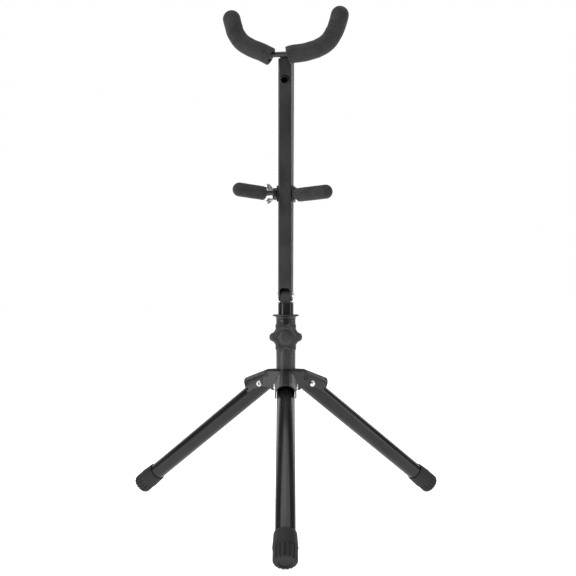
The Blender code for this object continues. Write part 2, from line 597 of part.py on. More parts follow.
def make_support_arms(mast_axis):
    """Two foam-covered arms, each with a flat eye, clamped to the mast by a bolt and wing nut."""
    bolt = axis_empty("bolt_axis", (0, 0, BOLT_Z - FOLD_Z), mast_axis)
    ear = 9.6 * MM
    back = 9.2 * MM
    saddle = add_object(
        "arm_bracket", box((-ear, -6 * MM, -9 * MM), (ear, back + 1.6 * MM, 9 * MM)), STEEL_BLACK, bolt)
    inside = MAST_HALF + GAP
    boolean(saddle, add_object("bracket_slot", box((-inside, -20 * MM, -20 * MM), (inside, back, 20 * MM)),
                               parent=bolt))
    boolean(saddle, add_object("bracket_hole", cylinder(3.4 * MM, (-20 * MM, 0, 0), (20 * MM, 0, 0), 24),
                               parent=bolt))
    turned(
        "arm_spacer",
        [(5 * MM, 6.2 * MM), (5 * MM, -6.2 * MM), (3.4 * MM, -6.2 * MM), (3.4 * MM, 6.2 * MM)],
        ZINC, bolt, 16, along((1, 0, 0)), ring=True)
    turned(
        "arm_bolt",
        [(0.0, 16.9 * MM), (2.6 * MM, 16.5 * MM), (4.6 * MM, 15.4 * MM), (5.6 * MM, 13.9 * MM),
         (5.6 * MM, 13.2 * MM), (3.0 * MM, 13.2 * MM), (3.0 * MM, -25.4 * MM), (2.4 * MM, -26 * MM),
         (0.0, -26 * MM)],
        ZINC, bolt, 16, along((1, 0, 0)))
    turned(
        "arm_washer",
        [(7.0 * MM, -13.2 * MM), (7.0 * MM, -14.4 * MM), (3.4 * MM, -14.4 * MM), (3.4 * MM, -13.2 * MM)],
        STEEL_BLACK, bolt, 20, along((1, 0, 0)), ring=True)
    nut = turned(
        "wing_nut",
        [(5.4 * MM, -14.7 * MM), (5.4 * MM, -17.2 * MM), (4.6 * MM, -22.0 * MM), (3.3 * MM, -22.0 * MM),
         (3.3 * MM, -14.7 * MM)],
        ZINC, bolt, 16, along((1, 0, 0)), ring=True)
    for sign in (1, -1):
        outline = [(-16.0, 3.8), (-15.4, 6.4), (-17.0, 9.0), (-20.4, 11.8), (-23.6, 11.6), (-25.0, 9.4),
                   (-24.0, 7.4), (-21.4, 5.6), (-20.6, 3.8)]
        wing = add_object("wing", loft([
            [(x * MM, y, sign * z * MM) for x, z in outline] for y in (-1.1 * MM, 1.1 * MM)
        ]), parent=bolt)
        boolean(nut, wing, "UNION")

    arms = {
        "left": (-1, (12.9, 9.0), (13.6, 12.8), (21.8, 19.0), (33.5, 30.0), (45.2, 41.0), -1.0, 1.4),
        "right": (1, (12.9, 9.0), (13.6, 12.8), (18.0, 17.0), (36.0, 27.2), (51.0, 35.8), -3.2, -2.4),
    }
    for side, (sign, root, neck, inner, centre, tip, low, rise) in arms.items():
        heights = (0.0, 0.0, low, (low + rise) / 2, rise)
        spots = [
            Vector((sign * x * MM, -y * MM, z * MM))
            for (x, y), z in zip((root, neck, inner, centre, tip), heights)
        ]
        eye = add_object(f"arm_rod_{side}", cylinder(
            7.0 * MM, (sign * 9.9 * MM, 0, 0), (sign * 12.9 * MM, 0, 0)), STEEL_BLACK, bolt)
        path = smooth_path(spots, 4.5 * MM)
        neck_x = sorted((sign * 9.9 * MM, sign * 12.9 * MM))
        boolean(eye, add_object(f"arm_neck_{side}", box(
            (neck_x[0], -10.5 * MM, -3.6 * MM), (neck_x[1], 0, 3.6 * MM)), parent=bolt), "UNION")
        boolean(eye, swept(f"arm_wire_{side}", path, WIRE_RADIUS, parent=bolt, resolution=2), "UNION")
        boolean(eye, add_object("eye_hole", cylinder(
            3.4 * MM, (sign * 5 * MM, 0, 0), (sign * 20 * MM, 0, 0), 24), parent=bolt))
        foam_path = smooth_path(spots[2:], 9.0 * MM)
        foam = swept(f"arm_sleeve_{side}", foam_path, ARM_FOAM, FOAM_BLACK, bolt, 5, True)
        boolean(foam, swept(
            f"arm_bore_{side}", overrun(path), BORE_RADIUS, parent=bolt, resolution=2))


STAND_AXIS = axis_empty("stand_axis", (0, COLUMN_Y, 0))
FLOOR = add_object("floor_plane", box((-0.5, -0.5, -0.1), (0.5, 0.5, 0.0)))
make_hub(STAND_AXIS)
for LEG_NAME, LEG_AZIMUTH in LEG_AZIMUTHS.items():
    make_leg(LEG_NAME, LEG_AZIMUTH, STAND_AXIS)
make_column(STAND_AXIS)
SWIVEL_AXIS = axis_empty("swivel_axis", (0, 0, 0), STAND_AXIS, (0.0, 0.0, SWIVEL))
make_slider(SWIVEL_AXIS)
MAST_AXIS = make_mast(SWIVEL_AXIS)
make_yoke(MAST_AXIS)
make_support_arms(MAST_AXIS)
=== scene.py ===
"""Looks of the saxophone stand: detailed pieces, procedural materials, studio and camera."""

import json
import math

import bmesh
import bpy
from mathutils import Matrix, Vector, noise


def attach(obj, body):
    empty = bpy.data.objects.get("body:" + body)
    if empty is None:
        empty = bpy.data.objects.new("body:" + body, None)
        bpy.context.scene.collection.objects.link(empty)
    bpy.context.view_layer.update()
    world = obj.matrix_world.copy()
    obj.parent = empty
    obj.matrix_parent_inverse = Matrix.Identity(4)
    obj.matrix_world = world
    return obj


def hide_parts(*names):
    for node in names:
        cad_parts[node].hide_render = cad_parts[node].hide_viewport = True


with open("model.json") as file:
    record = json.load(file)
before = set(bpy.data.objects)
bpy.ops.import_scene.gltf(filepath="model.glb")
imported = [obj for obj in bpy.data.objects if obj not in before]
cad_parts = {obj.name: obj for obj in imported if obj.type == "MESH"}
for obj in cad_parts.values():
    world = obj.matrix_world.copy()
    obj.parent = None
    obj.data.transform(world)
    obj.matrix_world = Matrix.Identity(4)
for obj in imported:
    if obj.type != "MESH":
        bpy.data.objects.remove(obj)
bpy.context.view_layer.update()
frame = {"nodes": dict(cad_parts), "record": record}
NODES = frame["nodes"]

MM = 0.001

# Dimensions that the CAD source also has
COLUMN_Y = 51.25 * MM
LEG_AZIMUTHS = {"front": -90.0, "right": 30.0, "left": 150.0}
LEG_SLOPE = math.radians(37.2)
LEG_RADIUS = 10.0 * MM
LEG_BORE = 8.8 * MM
LEG_HEAD = 5.0 * MM
LEG_LENGTH = 226.0 * MM
PIVOT_RADIUS = 28.5 * MM
PIVOT_Z = 147.5 * MM
FOOT_START = 198.6 * MM
FOOT_LENGTH = 32.0 * MM
FOOT_RADIUS = 12.3 * MM
HUB_FLANGE = 12.2 * MM
TUBE_RADIUS = 11.1 * MM
TUBE_BORE = 10.2 * MM
TUBE_BOTTOM = 143.5 * MM
TUBE_TOP = 222.0 * MM
COLLAR_BOTTOM = 214.0 * MM
COLLAR_TOP = 227.4 * MM
COLLAR_RADIUS = 15.0 * MM
COLLAR_BORE = 9.1 * MM
SLIDER_RADIUS = 8.8 * MM
SLIDER_BORE = 7.6 * MM
SLIDER_BOTTOM = 154.0 * MM
SLIDER_TOP = 240.6 * MM
KNOB_Z = 203.0 * MM
KNOB_BACK = 20.0 * MM
STUD_RADIUS = 4.0 * MM
STUD_HOLE = 4.6 * MM
SWIVEL = math.radians(-10.0)
FOLD_Z = 250.0 * MM
MAST_HALF = 7.7 * MM
BOLT_Z = 366.5 * MM
YOKE_Z = 524.5 * MM
YOKE_FRONT = -10.9 * MM
YOKE_RIVET_Z = 496.0 * MM
WIRE_RADIUS = 3.0 * MM
YOKE_FOAM = 10.2 * MM
ARM_FOAM = 7.8 * MM
FOAM_BORE = 3.7 * MM

# Dimensions of this model alone
KNOB_WIDE = 18.4 * MM
KNOB_WAIST = 14.4 * MM
KNOB_DEPTH = 16.0 * MM
FOOT_STEP = 16.4 * MM
FOOT_SOCKET = 26.5 * MM
FOOT_CORNER = 3.0 * MM
SKY = 0.25
SKY_IN_REFLECTIONS = 0.09

STAND = Matrix.Translation((0, COLUMN_Y, 0))
UPPER = STAND @ Matrix.Rotation(SWIVEL, 4, "Z")


# ---------------------------------------------------------------- materials

class Surface:
    """A Principled material and short ways to add procedural nodes to it."""

    def __init__(self, name):
        self.material = bpy.data.materials.new(name)
        self.material.use_nodes = True
        self.tree = self.material.node_tree
        self.shader = self.tree.nodes["Principled BSDF"]
        self.coords = self.tree.nodes.new("ShaderNodeTexCoord").outputs["Object"]

    def link(self, source, target):
        """Join an output to an input."""
        self.tree.links.new(source, target)

    def node(self, kind, **values):
        """A new node. Each value goes to the input of that name, or else to the node's own setting."""
        made = self.tree.nodes.new(kind)
        for key, value in values.items():
            if key in made.inputs:
                made.inputs[key].default_value = value
            else:
                setattr(made, key, value)
        return made

    def noise(self, scale, detail=3.0, rough=0.55, stretch=None):
        """Noise from 0 to 1 over the piece, drawn out along the axes where stretch is under 1."""
        made = self.node("ShaderNodeTexNoise", Scale=scale, Detail=detail, Roughness=rough)
        source = self.coords
        if stretch:
            mapping = self.node("ShaderNodeMapping", Scale=stretch)
            self.link(source, mapping.inputs["Vector"])
            source = mapping.outputs["Vector"]
        self.link(source, made.inputs["Vector"])
        return made.outputs["Fac"]

    def cells(self, scale):
        """Distance to the nearest of many scattered points."""
        made = self.node("ShaderNodeTexVoronoi", Scale=scale)
        self.link(self.coords, made.inputs["Vector"])
        return made.outputs["Distance"]

    def spread(self, value, low, high, out_low, out_high):
        """The value mapped from low..high to out_low..out_high and held within them."""
        made = self.node("ShaderNodeMapRange")
        self.link(value, made.inputs["Value"])
        limits = (("From Min", low), ("From Max", high), ("To Min", out_low), ("To Max", out_high))
        for key, number in limits:
            made.inputs[key].default_value = number
        return made.outputs["Result"]

    def math(self, operation, first, second):
        """One sum of two outputs or numbers."""
        made = self.node("ShaderNodeMath", operation=operation)
        for slot, value in zip(made.inputs, (first, second)):
            if isinstance(value, (int, float)):
                slot.default_value = value
            else:
                self.link(value, slot)
        return made.outputs["Value"]

    def blend(self, factor, first, second):
        """A colour between two colours, each an output or a triple."""
        made = self.node("ShaderNodeMix", data_type="RGBA")
        self.link(factor, made.inputs["Factor"])
        for slot, value in ((made.inputs[6], first), (made.inputs[7], second)):
            if isinstance(value, tuple):
                slot.default_value = (*value, 1.0)
            else:
                self.link(value, slot)
        return made.outputs[2]

    def edges(self, radius):
        """0 on flat places, rising on outer and inner edges."""
        bevel = self.node("ShaderNodeBevel", samples=4, Radius=radius)
        flat = self.node("ShaderNodeNewGeometry")
        dot = self.node("ShaderNodeVectorMath", operation="DOT_PRODUCT")
        self.link(bevel.outputs["Normal"], dot.inputs[0])
        self.link(flat.outputs["Normal"], dot.inputs[1])
        return self.spread(dot.outputs["Value"], 1.0, 0.75, 0.0, 1.0)

    def bump(self, height, distance, strength=1.0, edge_radius=None, over=None):
        """Relief from a height, over softened edges or over another relief."""
        made = self.node("ShaderNodeBump", Distance=distance, Strength=strength)
        self.link(height, made.inputs["Height"])
        if edge_radius:
            bevel = self.node("ShaderNodeBevel", samples=6, Radius=edge_radius)
            self.link(bevel.outputs["Normal"], made.inputs["Normal"])
        if over:
            self.link(over, made.inputs["Normal"])
        self.link(made.outputs["Normal"], self.shader.inputs["Normal"])
        return made.outputs["Normal"]

    def colour(self, source):
        """Use an output as the base colour."""
        self.link(source, self.shader.inputs["Base Color"])

    def roughness(self, source):
        """Use an output as the roughness."""
        self.link(source, self.shader.inputs["Roughness"])

    def constant(self, **values):
        """Set shader sockets to constants."""
        for key, value in values.items():
            self.shader.inputs[key.replace("_", " ")].default_value = value


def powder_coat():
    """Satin powder coat: fine orange peel, faint cloudiness, edges rubbed a little lighter."""
    s = Surface("powder_coat_black")
    cloud = s.noise(38.0, 4.0)
    peel = s.noise(1150.0, 2.0, 0.5)
    grit = s.noise(4200.0, 1.0)
    base = s.blend(s.spread(cloud, 0.3, 0.7, 0.0, 1.0), (0.0125, 0.0125, 0.0132), (0.021, 0.021, 0.0215))
    rub = s.math("MULTIPLY", s.edges(0.5 * MM), s.spread(s.noise(260.0, 3.0), 0.42, 0.68, 0.0, 0.75))
    s.colour(s.blend(rub, base, (0.075, 0.075, 0.078)))
    s.roughness(s.spread(s.math("ADD", cloud, s.math("MULTIPLY", grit, 0.35)), 0.4, 0.95, 0.30, 0.46))
    height = s.math("ADD", peel, s.math("MULTIPLY", grit, 0.3))
    s.bump(height, 0.05 * MM, 0.42, edge_radius=0.35 * MM)
    s.constant(Specular_IOR_Level=0.5)
    return s.material


def gloss_coat():
    """Smooth baked enamel: long faint waves, hair scratches along the tube, dust."""
    s = Surface("gloss_coat_black")
    cloud = s.noise(24.0, 3.0)
    scratch = s.noise(900.0, 2.0, 0.7, stretch=(1.0, 1.0, 0.08))
    dust = s.spread(s.noise(1700.0, 2.0), 0.66, 0.78, 0.0, 1.0)
    base = s.blend(s.spread(cloud, 0.3, 0.7, 0.0, 1.0), (0.008, 0.008, 0.0085), (0.013, 0.013, 0.0135))
    s.colour(s.blend(s.math("MULTIPLY", dust, 0.25), base, (0.09, 0.088, 0.085)))
    rough = s.math("ADD", s.spread(cloud, 0.3, 0.7, 0.15, 0.23), s.math("MULTIPLY", dust, 0.18))
    s.roughness(s.math("ADD", rough, s.spread(scratch, 0.55, 0.8, 0.0, 0.10)))
    s.bump(s.math("ADD", scratch, s.math("MULTIPLY", s.noise(120.0, 2.0), 1.5)), 0.02 * MM, 0.30)
    s.constant(Specular_IOR_Level=0.3)
    return s.material


def zinc_plate():
    """Bright zinc: pale metal with fine tool marks, spangle and dull spots."""
    s = Surface("zinc_plate")
    spangle = s.cells(700.0)
    marks = s.noise(2600.0, 2.0, 0.6, stretch=(0.3, 1.0, 1.0))
    stain = s.spread(s.noise(180.0, 4.0), 0.52, 0.75, 0.0, 1.0)
    tone = s.blend(s.spread(spangle, 0.0, 0.6, 0.0, 1.0), (0.86, 0.87, 0.88), (0.74, 0.75, 0.77))
    s.colour(s.blend(s.math("MULTIPLY", stain, 0.4), tone, (0.52, 0.51, 0.48)))
    s.roughness(s.math("ADD", s.spread(marks, 0.3, 0.7, 0.20, 0.34), s.math("MULTIPLY", stain, 0.15)))
    s.bump(marks, 0.02 * MM, 0.35, edge_radius=0.25 * MM)
    s.constant(Metallic=1.0)
    return s.material


def foam():
    """Closed-cell foam skin: small open pore cells in relief with painted shade darkening their middles,
    finer cells between them, a dusty grey cast.
    """
    s = Surface("foam_black")
    pores_and_pore_shade = s.cells(820.0)
    fine = s.noise(2600.0, 3.0, 0.7)
    soft = s.noise(95.0, 4.0, 0.6)
    wide = s.noise(30.0, 2.0)
    base = s.blend(s.spread(soft, 0.3, 0.72, 0.0, 1.0), (0.019, 0.019, 0.0197), (0.038, 0.038, 0.0388))
    speck = s.blend(s.spread(fine, 0.56, 0.76, 0.0, 0.5), base, (0.085, 0.085, 0.086))
    # painted shade: the colour goes near black in the middle of each pore cell, where the relief sinks
    s.colour(s.blend(s.spread(pores_and_pore_shade, 0.0, 0.25, 0.55, 0.0), speck, (0.010, 0.010, 0.010)))
    s.roughness(s.spread(soft, 0.3, 0.7, 0.86, 0.98))
    height = s.math("ADD", s.spread(pores_and_pore_shade, 0.0, 0.45, 0.0, 1.0), s.math("MULTIPLY", fine, 0.8))
    grain = s.node("ShaderNodeBump", Distance=0.14 * MM, Strength=0.75)
    s.link(height, grain.inputs["Height"])
    s.bump(s.math("ADD", soft, wide), 0.5 * MM, 0.35, over=grain.outputs["Normal"])
    s.constant(Specular_IOR_Level=0.2, Sheen_Weight=0.08, Sheen_Roughness=0.5)
    return s.material


def rubber():
    """Moulded rubber: matt, finely grained, a grey bloom in patches and scuffs low down."""
    s = Surface("rubber_black")
    bloom = s.noise(70.0, 4.0, 0.6)
    grain = s.noise(2300.0, 2.0)
    base = s.blend(s.spread(bloom, 0.35, 0.7, 0.0, 1.0), (0.011, 0.011, 0.0112), (0.021, 0.021, 0.0214))
    scuff = s.math("MULTIPLY", s.edges(0.5 * MM), s.spread(s.noise(420.0, 3.0), 0.45, 0.7, 0.0, 0.6))
    s.colour(s.blend(scuff, base, (0.085, 0.084, 0.082)))
    s.roughness(s.spread(bloom, 0.3, 0.7, 0.52, 0.70))
    s.bump(grain, 0.05 * MM, 0.35, edge_radius=0.3 * MM)
    s.constant(Specular_IOR_Level=0.28)
    return s.material


def plastic():
    """Moulded nylon: spark-eroded grain, faint flow clouds, edges polished by hands."""
    s = Surface("plastic_black")
    grain = s.noise(1900.0, 3.0, 0.6)
    flow = s.noise(55.0, 4.0, 0.6)
    base = s.blend(s.spread(flow, 0.3, 0.7, 0.0, 1.0), (0.015, 0.015, 0.0154), (0.024, 0.024, 0.0244))
    edge = s.edges(0.6 * MM)
    s.colour(s.blend(s.math("MULTIPLY", edge, 0.35), base, (0.085, 0.085, 0.086)))
    s.roughness(s.math("SUBTRACT", s.spread(grain, 0.3, 0.7, 0.40, 0.54), s.math("MULTIPLY", edge, 0.12)))
    s.bump(grain, 0.06 * MM, 0.45, edge_radius=0.4 * MM)
    s.constant(Specular_IOR_Level=0.5)
    return s.material


def floor_paint():
    """Plain pale studio floor that glows a little, so that it stays as white as the backdrop."""
    s = Surface("studio_floor")
    s.colour(s.blend(s.noise(3.0, 3.0), (0.86, 0.86, 0.86), (0.9, 0.9, 0.9)))
    s.roughness(s.spread(s.noise(8.0, 3.0), 0.3, 0.7, 0.55, 0.65))
    s.constant(Specular_IOR_Level=0.2, Emission_Color=(1.0, 1.0, 1.0, 1.0), Emission_Strength=0.8)
    return s.material


FINISH = {
    "powder_coat": powder_coat(), "gloss_coat": gloss_coat(), "zinc": zinc_plate(),
    "foam": foam(), "rubber": rubber(), "plastic": plastic(),
}


# ---------------------------------------------------------------- shapes

def straight(matrix, direction):
    """A spine along a straight axis: (centre, side, side) at a distance from the matrix's origin."""
    axis = Vector(direction).normalized()
    side = axis.orthogonal().normalized()
    other = axis.cross(side)
    turn = matrix.to_3x3()

    def at(distance):
        return matrix @ (axis * distance), turn @ side, turn @ other

    return at


def catmull(points, count=28):
    """Dense points on a Catmull-Rom curve."""
    points = [Vector(point) for point in points]
    padded = [2 * points[0] - points[1], *points, 2 * points[-1] - points[-2]]
    dense = []
    for before, here, there, after in zip(padded, padded[1:], padded[2:], padded[3:]):
        for index in range(count):
            t = index / count
            dense.append(0.5 * (
                2 * here + (there - before) * t
                + (2 * before - 5 * here + 4 * there - after) * t**2
                + (3 * here - before - 3 * there + after) * t**3
            ))
    return [*dense, points[-1]]


class Spine:
    """A curved axis with frames that don't twist. Beyond its ends it runs on straight."""

    def __init__(self, matrix, points):
        self.points = [matrix @ point for point in catmull(points)]
        self.tangents = []
        for index in range(len(self.points)):
            before = self.points[max(index - 1, 0)]
            after = self.points[min(index + 1, len(self.points) - 1)]
            self.tangents.append((after - before).normalized())
        self.distances = [0.0]
        for first, second in zip(self.points, self.points[1:]):
            self.distances.append(self.distances[-1] + (second - first).length)
        self.length = self.distances[-1]
        side = self.tangents[0].orthogonal().normalized()
        self.sides = [side]
        for first, second in zip(self.tangents, self.tangents[1:]):
            side = first.rotation_difference(second) @ side
            self.sides.append(side)

    def index(self, distance):
        """Number of the stretch that holds a distance."""
        low, high = 0, len(self.distances) - 1
        while high - low > 1:
            middle = (low + high) // 2
            if self.distances[middle] <= distance:
                low = middle
            else:
                high = middle
        return low

    def __call__(self, distance):
        within = min(max(distance, 0.0), self.length)
        index = self.index(within)
        gap = self.distances[index + 1] - self.distances[index]
        share = (within - self.distances[index]) / gap
        tangent = self.tangents[index].lerp(self.tangents[index + 1], share).normalized()
        centre = self.points[index].lerp(self.points[index + 1], share) + tangent * (distance - within)
        side = self.sides[index].lerp(self.sides[index + 1], share)
        side = (side - tangent * side.dot(tangent)).normalized()
        return centre, side, tangent.cross(side)

    def bend(self, distance):
        """Curvature vector, towards the inside of the bend, in 1/metre."""
        reach = 2.5 * MM
        low, high = (self.index(min(max(distance + step, 0.0), self.length)) for step in (-reach, reach))
        if high == low:
            return Vector((0, 0, 0))
        return (self.tangents[high] - self.tangents[low]) / (2 * reach)


def bridge(bm, rows, count):
    """Faces between neighbouring rows. A row is a closed ring of count points, or one point."""
    for first, second in zip(rows, rows[1:]):
        for index in range(count):
            after = (index + 1) % count
            corners = [first[index % len(first)], first[after % len(first)],
                       second[after % len(second)], second[index % len(second)]]
            unique = list(dict.fromkeys(corners))
            if len(unique) > 2:
                bm.faces.new(unique)


def revolve(spine, profile, sides=56, ring=False, shape=None):
    """A bmesh of (distance, radius) points swept round a spine.

    shape(distance, angle, radius) varies the radius.
    """
    bm = bmesh.new()
    rows = []
    for distance, radius in profile:
        centre, side, other = spine(distance)
        if radius < 1e-7:
            rows.append([bm.verts.new(centre)])
            continue
        row = []
        for index in range(sides):
            angle = 2 * math.pi * index / sides
            out = shape(distance, angle, radius) if shape else radius
            row.append(bm.verts.new(centre + (side * math.cos(angle) + other * math.sin(angle)) * out))
        rows.append(row)
    bridge(bm, [*rows, rows[0]] if ring else rows, sides)
    return bm


def piece(name, bm, slot, body, *replaced, sharp=38.0):
    """A visible piece that rides on a body and stands for the CAD nodes that it replaces."""
    bmesh.ops.recalc_face_normals(bm, faces=bm.faces)
    mesh = bpy.data.meshes.new(name)
    bm.to_mesh(mesh)
    bm.free()
    mesh.shade_smooth()
    mesh.set_sharp_from_angle(angle=math.radians(sharp))
    mesh.materials.append(FINISH[slot])
    obj = bpy.data.objects.new(name, mesh)
    bpy.context.scene.collection.objects.link(obj)
    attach(obj, body)
    if replaced:
        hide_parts(*replaced)
    return obj


def box_mesh(low, high, matrix):
    """A box between two corners."""
    low, high = Vector(low), Vector(high)
    bm = bmesh.new()
    place = matrix @ Matrix.Translation((low + high) / 2) @ Matrix.Diagonal((*(high - low), 1.0))
    bmesh.ops.create_cube(bm, size=1.0, matrix=place)
    return bm


def combine(bm, other, operation):
    """The first bmesh cut by or joined with the second, as a new bmesh."""
    objects = []
    for index, shape in enumerate((bm, other)):
        bmesh.ops.recalc_face_normals(shape, faces=shape.faces)
        mesh = bpy.data.meshes.new(f"operand_{index}")
        shape.to_mesh(mesh)
        shape.free()
        obj = bpy.data.objects.new(f"operand_{index}", mesh)
        bpy.context.scene.collection.objects.link(obj)
        objects.append(obj)
    modifier = objects[0].modifiers.new("Combine", "BOOLEAN")
    modifier.operation = operation
    modifier.solver = "EXACT"
    modifier.object = objects[1]
    bpy.context.view_layer.update()
    made = bpy.data.meshes.new_from_object(
        objects[0].evaluated_get(bpy.context.evaluated_depsgraph_get()))
    result = bmesh.new()
    result.from_mesh(made)
    for obj in objects:
        mesh = obj.data
        bpy.data.objects.remove(obj, do_unlink=True)
        bpy.data.meshes.remove(mesh)
    bpy.data.meshes.remove(made)
    return result


def rounded(corners, radius, steps=4):
    """A closed or open list of (distance, radius) corners with each inner corner rounded."""
    made = [corners[0]]
    for before, here, after in zip(corners, corners[1:], corners[2:]):
        here, back, ahead = Vector(here), Vector(before), Vector(after)
        reach = min(radius, (back - here).length / 2.2, (ahead - here).length / 2.2)
        start = here + (back - here).normalized() * reach
        end = here + (ahead - here).normalized() * reach
        for index in range(steps + 1):
            t = index / steps
            spot = start * (1 - t) ** 2 + here * 2 * t * (1 - t) + end * t**2
            made.append((spot.x, spot.y))
    return [*made, corners[-1]]


# ---------------------------------------------------------------- foam sleeves

def foam_sleeve(name, matrix, points, radius, body, wrinkle, mouth=FOAM_BORE, relief=None):
    """A foam tube along a path, open at its first end and domed at its last, creased inside its bends."""
    spine = Spine(matrix, points)
    length = spine.length
    depth = 14.0 * MM
    lip = 0.9 * MM

    def shape(distance, angle, out):
        centre, side, other = spine(distance)
        facing = side * math.cos(angle) + other * math.sin(angle)
        spot = centre + facing * out
        if out > radius * 0.55:
            out += 0.16 * MM * noise.noise(spot * 110.0) + 0.05 * MM * noise.noise(spot * 420.0)
            bend = spine.bend(distance)
            inside = max(0.0, facing.dot(bend)) / 26.0
            fold = math.sin(distance / (3.4 * MM) * 2 * math.pi + 2.5 * noise.noise(spot * 160.0))
            out -= wrinkle * min(1.0, inside) * (0.5 + 0.5 * fold)
        return out

    profile = [(depth, 0.0), (depth, FOAM_BORE), (depth * 0.5, (FOAM_BORE + mouth) / 2),
               (lip, mouth + 0.1 * MM), (0.15 * MM, mouth + 0.5 * MM), (0.0, mouth + 1.2 * MM)]
    steps = 6
    for index in range(steps + 1):
        turn = math.pi / 2 * index / steps
        profile.append((lip - lip * math.cos(turn) if index else 0.0, radius - lip + lip * math.sin(turn)))
    rows = int((length - 2 * lip) / (0.85 * MM))
    for index in range(1, rows + 1):
        profile.append((lip + (length - lip) * index / rows, radius))
    dome = 14
    for index in range(1, dome + 1):
        turn = math.pi / 2 * index / dome
        out = radius * math.cos(turn) if index < dome else 0.0
        profile.append((length + radius * 0.985 * math.sin(turn), out))
    bm = revolve(spine, profile, sides=64, shape=shape)
    if relief:
        bm = combine(bm, box_mesh(*relief, matrix), "DIFFERENCE")
    obj = piece(name + "_foam", bm, "foam", body, name, sharp=50.0)
    return obj


YOKE = UPPER @ Matrix.Translation((0, 0, YOKE_Z))
BOLT = UPPER @ Matrix.Translation((0, 0, BOLT_Z))
HALF_YOKE = [(12.0, 0.0), (19.0, 0.5), (27.5, 3.2), (39.0, 7.8), (50.0, 14.6), (57.2, 25.0),
             (60.6, 34.5), (63.0, 43.2)]
# Middle lines of the two foam sleeves, which lie a little off the wire, each in its own way
FOAM_PATHS = (
    [(-15.3, -2.2), (-21.5, 1.1), (-27.5, 4.2), (-39.0, 9.4), (-49.4, 16.4), (-56.2, 26.0), (-59.2, 35.0),
     (-61.4, 43.2)],
    [(4.4, -1.7), (9.5, -0.3), (19.0, 0.6), (27.5, 1.9), (39.0, 5.2), (50.0, 11.8), (57.6, 22.8),
     (61.4, 32.6), (63.8, 41.2)],
)


def yoke():
    """The bent wire of the cradle and its two sleeves. The right one is cut away where the mast stands."""
    right = [(x * MM, YOKE_FRONT, z * MM) for x, z in HALF_YOKE]
    left = [(-x, y, z) for x, y, z in right]
    spine = Spine(YOKE, [*left[::-1], (0, YOKE_FRONT, 0), *right])
    rows = 150
    profile = [(0.0, 0.0), *[(spine.length * index / rows, WIRE_RADIUS) for index in range(rows + 1)],
               (spine.length, 0.0)]
    piece("yoke_wire", revolve(spine, profile, 28), "powder_coat", "mast_body", "yoke_rod")
    foam_left, foam_right = (
        [(x * MM, YOKE_FRONT, z * MM) for x, z in path] for path in FOAM_PATHS)
    foam_sleeve("yoke_sleeve_left", YOKE, foam_left, YOKE_FOAM, "mast_body", 0.30 * MM, mouth=6.0 * MM)
    relief = ((-20 * MM, -MAST_HALF - 0.5 * MM, -80 * MM), (MAST_HALF + 0.5 * MM, 40 * MM, 3 * MM))
    foam_sleeve("yoke_sleeve_right", YOKE, foam_right, YOKE_FOAM, "mast_body", 0.30 * MM, mouth=5.0 * MM,
                relief=relief)


# Side, three points of the foam in plan, and the height of its two ends, in mm
ARMS = {
    "left": (-1, (21.8, 19.0), (33.5, 30.0), (45.2, 41.0), -1.0, 1.4),
    "right": (1, (18.0, 17.0), (36.0, 27.2), (51.0, 35.8), -3.2, -2.4),
}


def arm_sleeves():
    """The foam on the two lower arms."""
    for side, (sign, inner, centre, tip, low, rise) in ARMS.items():
        points = [(sign * x * MM, -y * MM, z * MM)
                  for (x, y), z in zip((inner, centre, tip), (low, (low + rise) / 2, rise))]
        foam_sleeve(f"arm_sleeve_{side}", BOLT, points, ARM_FOAM, f"arm_{side}_body", 0.0)


# ---------------------------------------------------------------- tripod

def leg_matrix(azimuth):
    """Place of a leg's rivet, with X pointing away from the column."""
    turn = Matrix.Rotation(math.radians(azimuth), 4, "Z")
    place = Matrix.Translation((PIVOT_RADIUS, 0, PIVOT_Z))
    return STAND @ turn @ place


def foot_profile():
    """Cap with a flared sleeve above a step and a ribbed block with a crisp corner below it."""
    corner, step = FOOT_CORNER, FOOT_STEP
    end, wide = FOOT_LENGTH, FOOT_RADIUS
    socket = LEG_RADIUS + 0.3 * MM
    points = [(FOOT_SOCKET, 0.0), (FOOT_SOCKET, socket), (0.5 * MM, socket),
              (0.0, 10.6 * MM), (0.25 * MM, 11.05 * MM), (0.9 * MM, 11.3 * MM)]
    for index in range(1, 25):
        share = index / 24
        points.append((0.9 * MM + share * (step - 1.2 * MM), 11.3 * MM + 1.0 * MM * share))
    points += [(step + 0.1 * MM, wide - 0.15 * MM), (step + 0.3 * MM, wide - 0.6 * MM)]
    block, start = wide - 0.45 * MM, step + 0.5 * MM
    for index in range(1, 22):
        points.append((start + (end - corner - start) * index / 21, block))
    for index in range(1, 13):
        turn = math.pi / 2 * index / 12
        points.append((end - corner + corner * math.sin(turn), block - corner + corner * math.cos(turn)))
    points += [(end, 7.6 * MM), (end, 7.2 * MM), (end - 0.7 * MM, 6.9 * MM), (end - 0.8 * MM, 6.4 * MM)]
    return [*points, (end - 0.8 * MM, 0.0)]


def foot_ribs(distance, angle, radius):
    """Grooves from the step down over the corner, which leave square lugs round the end of a foot."""
    start, plain = FOOT_STEP + 1.0 * MM, 7.5 * MM
    if radius < plain or distance < start:
        return radius
    fade = min(1.0, (distance - start) / (0.8 * MM))
    groove = 0.5 + 0.5 * math.tanh(6.0 * (math.cos(16 * angle) - 0.62))
    return radius - 1.1 * MM * fade * groove


